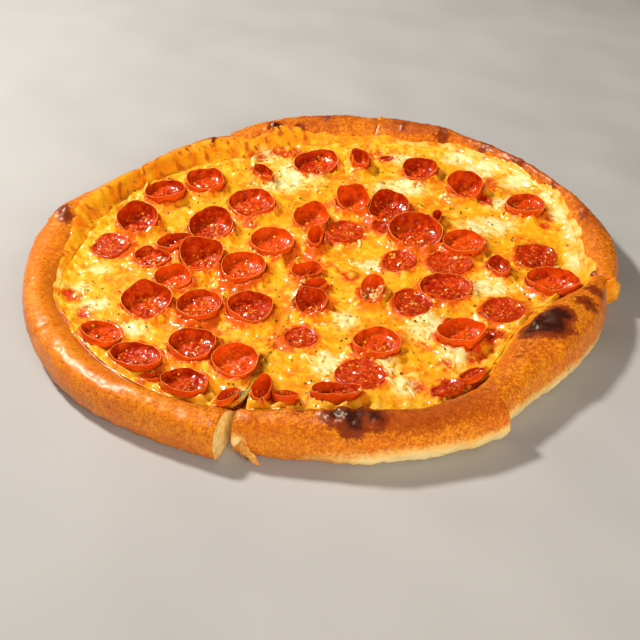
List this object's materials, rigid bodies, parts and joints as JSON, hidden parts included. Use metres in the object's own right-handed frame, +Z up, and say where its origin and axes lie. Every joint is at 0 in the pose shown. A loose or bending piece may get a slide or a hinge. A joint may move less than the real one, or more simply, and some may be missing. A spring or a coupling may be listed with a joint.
{
  "type": "pan pizza",
  "caption": "Round pepperoni pizza with a thick hand-formed rim, cut into slices that keep the whole's shape, with cupped pepperoni on melted cheese.",
  "frame": {"origin": "on the flat underside, near the point where the cuts meet", "axes": "+Z up, away from the surface the pizza rests on; -Y towards the open cut and the viewer of the picture; +X to the viewer's right"},
  "size_m": [0.4038, 0.3937, 0.0326],
  "materials": {
    "crust": "matt baked dough, golden brown with darker blisters",
    "sauce": "moist red sauce",
    "cheese": "melted, oily, yellow with paler patches",
    "pepperoni": "oily red, darker inside the cups"
  },
  "bodies": {
    "root": {"slice_right_back": "crust", "slice_back_right": "crust", "slice_back_left": "crust", "slice_left_back": "crust", "slice_left": "crust", "slice_front_left": "crust", "slice_front_right": "crust", "slice_right_front": "crust", "sauce": "sauce", "cheese": "cheese", "pepperoni_01": "pepperoni", "pepperoni_02": "pepperoni", "pepperoni_03": "pepperoni", "pepperoni_04": "pepperoni", "pepperoni_05": "pepperoni", "pepperoni_06": "pepperoni", "pepperoni_07": "pepperoni", "pepperoni_08": "pepperoni", "pepperoni_09": "pepperoni", "pepperoni_10": "pepperoni", "pepperoni_11": "pepperoni", "pepperoni_12": "pepperoni", "pepperoni_13": "pepperoni", "pepperoni_14": "pepperoni", "pepperoni_15": "pepperoni", "pepperoni_16": "pepperoni", "pepperoni_17": "pepperoni", "pepperoni_18": "pepperoni", "pepperoni_19": "pepperoni", "pepperoni_20": "pepperoni", "pepperoni_21": "pepperoni", "pepperoni_22": "pepperoni", "pepperoni_23": "pepperoni", "pepperoni_24": "pepperoni", "pepperoni_25": "pepperoni", "pepperoni_26": "pepperoni", "pepperoni_27": "pepperoni", "pepperoni_28": "pepperoni", "pepperoni_29": "pepperoni", "pepperoni_30": "pepperoni", "pepperoni_31": "pepperoni", "pepperoni_32": "pepperoni", "pepperoni_33": "pepperoni", "pepperoni_34": "pepperoni", "pepperoni_35": "pepperoni", "pepperoni_36": "pepperoni", "pepperoni_37": "pepperoni", "pepperoni_38": "pepperoni", "pepperoni_39": "pepperoni", "pepperoni_40": "pepperoni", "pepperoni_41": "pepperoni", "pepperoni_42": "pepperoni", "pepperoni_43": "pepperoni", "pepperoni_44": "pepperoni", "pepperoni_45": "pepperoni", "pepperoni_46": "pepperoni", "pepperoni_47": "pepperoni", "pepperoni_48": "pepperoni", "pepperoni_49": "pepperoni", "pepperoni_50": "pepperoni"}
  },
  "joints": []
}
